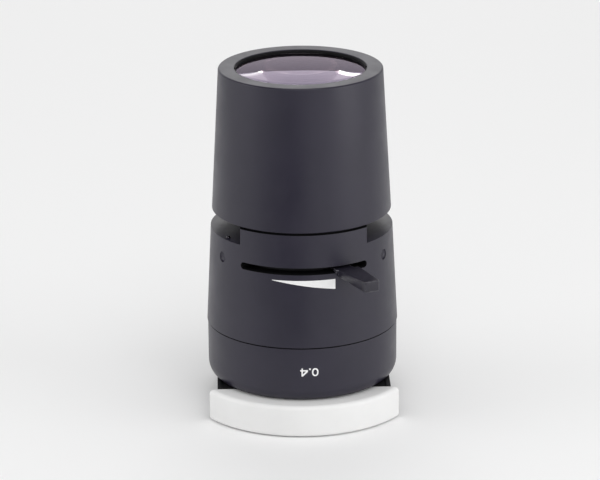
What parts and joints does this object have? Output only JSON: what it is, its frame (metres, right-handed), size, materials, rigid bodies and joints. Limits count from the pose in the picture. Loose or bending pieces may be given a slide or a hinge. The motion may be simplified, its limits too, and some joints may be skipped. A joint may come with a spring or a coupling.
{
  "type": "microscope condenser",
  "caption": "Long-working-distance condenser on a slide-in plate, with an iris worked by a front lever, an opening mark, a passage for a slider and a front lens.",
  "frame": {"origin": "on the optical axis, in the underside of the slide plate, which is the mouth of the filter seat", "axes": "+Z along the optical axis from the slide plate towards the front lens; -Y towards the grip and the lever; +X to the right seen from the grip"},
  "size_m": [0.0694, 0.0843, 0.127],
  "materials": {
    "black_anodised": "satin black anodised aluminium",
    "white_plastic": "satin white moulding",
    "black_plate": "matte black anodised aluminium",
    "black_plastic": "fine grained black moulding",
    "flat_black": "matte black anti-reflection finish",
    "screw_steel": "black oxide steel",
    "bright_steel": "ground steel",
    "blade_steel": "blackened spring steel",
    "slip_plastic": "slippery off-white plastic",
    "white_paint": "white fill paint",
    "coated_glass": "polished, anti-reflection coated",
    "ground_glass": "one side ground"
  },
  "bodies": {
    "body": {"slide_plate": "black_plate", "front_grip": "white_plastic", "grip_screws": "screw_steel", "base_screws": "screw_steel", "diffuser": "ground_glass", "diffuser_ring": "flat_black", "base_ring": "black_anodised", "collector_lens": "coated_glass", "collector_ring": "flat_black", "housing": "black_anodised", "opening_mark": "white_paint", "housing_set_screws": "screw_steel", "iris_cage": "flat_black", "friction_ring": "slip_plastic", "iris_closing_ring": "flat_black", "detent_sleeve": "screw_steel", "detent_spring": "bright_steel", "barrel": "black_anodised", "barrel_screws": "screw_steel", "rear_lens": "coated_glass", "spacer_tube": "flat_black", "front_lens": "coated_glass", "front_lens_ring": "flat_black"},
    "lever": {"aperture_lever": "black_plastic", "iris_drive_ring": "blade_steel", "lever_screws": "bright_steel"},
    "detent_ball": {"detent_ball": "bright_steel"},
    "iris_blade_1": {"iris_blade_1": "blade_steel"},
    "iris_blade_2": {"iris_blade_2": "blade_steel"},
    "iris_blade_3": {"iris_blade_3": "blade_steel"},
    "iris_blade_4": {"iris_blade_4": "blade_steel"},
    "iris_blade_5": {"iris_blade_5": "blade_steel"},
    "iris_blade_6": {"iris_blade_6": "blade_steel"},
    "iris_blade_7": {"iris_blade_7": "blade_steel"},
    "iris_blade_8": {"iris_blade_8": "blade_steel"}
  },
  "joints": [
    {"name": "aperture_lever_turn", "type": "hinge", "parent": "body", "child": "lever", "pos_m": [0, 0, 0.061], "axis": [0, 0, 1], "range_deg": [-60.3, 9.7]},
    {"name": "iris_blade_1_turn", "type": "hinge", "parent": "body", "child": "iris_blade_1", "pos_m": [-0.0077, 0.02442, 0.0657], "axis": [0, 0, 1], "range_deg": [-30.2, 4.9]},
    {"name": "iris_blade_2_turn", "type": "hinge", "parent": "body", "child": "iris_blade_2", "pos_m": [-0.02271, 0.01182, 0.0657], "axis": [0, 0, 1], "range_deg": [-30.2, 4.9]},
    {"name": "iris_blade_3_turn", "type": "hinge", "parent": "body", "child": "iris_blade_3", "pos_m": [-0.02442, -0.0077, 0.0657], "axis": [0, 0, 1], "range_deg": [-30.2, 4.9]},
    {"name": "iris_blade_4_turn", "type": "hinge", "parent": "body", "child": "iris_blade_4", "pos_m": [-0.01182, -0.02271, 0.0657], "axis": [0, 0, 1], "range_deg": [-30.2, 4.9]},
    {"name": "iris_blade_5_turn", "type": "hinge", "parent": "body", "child": "iris_blade_5", "pos_m": [0.0077, -0.02442, 0.0657], "axis": [0, 0, 1], "range_deg": [-30.2, 4.9]},
    {"name": "iris_blade_6_turn", "type": "hinge", "parent": "body", "child": "iris_blade_6", "pos_m": [0.02271, -0.01182, 0.0657], "axis": [0, 0, 1], "range_deg": [-30.2, 4.9]},
    {"name": "iris_blade_7_turn", "type": "hinge", "parent": "body", "child": "iris_blade_7", "pos_m": [0.02442, 0.0077, 0.0657], "axis": [0, 0, 1], "range_deg": [-30.2, 4.9]},
    {"name": "iris_blade_8_turn", "type": "hinge", "parent": "body", "child": "iris_blade_8", "pos_m": [0.01182, 0.02271, 0.0657], "axis": [0, 0, 1], "range_deg": [-30.2, 4.9]},
    {"name": "detent_ball_press", "type": "slide", "parent": "body", "child": "detent_ball", "axis": [0, 0, 1], "range_m": [-0.0005, 0], "stiffness_N_per_m": 400, "springref_m": 0.0006, "deforming": ["detent_spring"]}
  ],
  "couplings": [
    {"joint": "iris_blade_1_turn", "follows": "aperture_lever_turn", "ratio": 0.5},
    {"joint": "iris_blade_2_turn", "follows": "aperture_lever_turn", "ratio": 0.5},
    {"joint": "iris_blade_3_turn", "follows": "aperture_lever_turn", "ratio": 0.5},
    {"joint": "iris_blade_4_turn", "follows": "aperture_lever_turn", "ratio": 0.5},
    {"joint": "iris_blade_5_turn", "follows": "aperture_lever_turn", "ratio": 0.5},
    {"joint": "iris_blade_6_turn", "follows": "aperture_lever_turn", "ratio": 0.5},
    {"joint": "iris_blade_7_turn", "follows": "aperture_lever_turn", "ratio": 0.5},
    {"joint": "iris_blade_8_turn", "follows": "aperture_lever_turn", "ratio": 0.5}
  ]
}
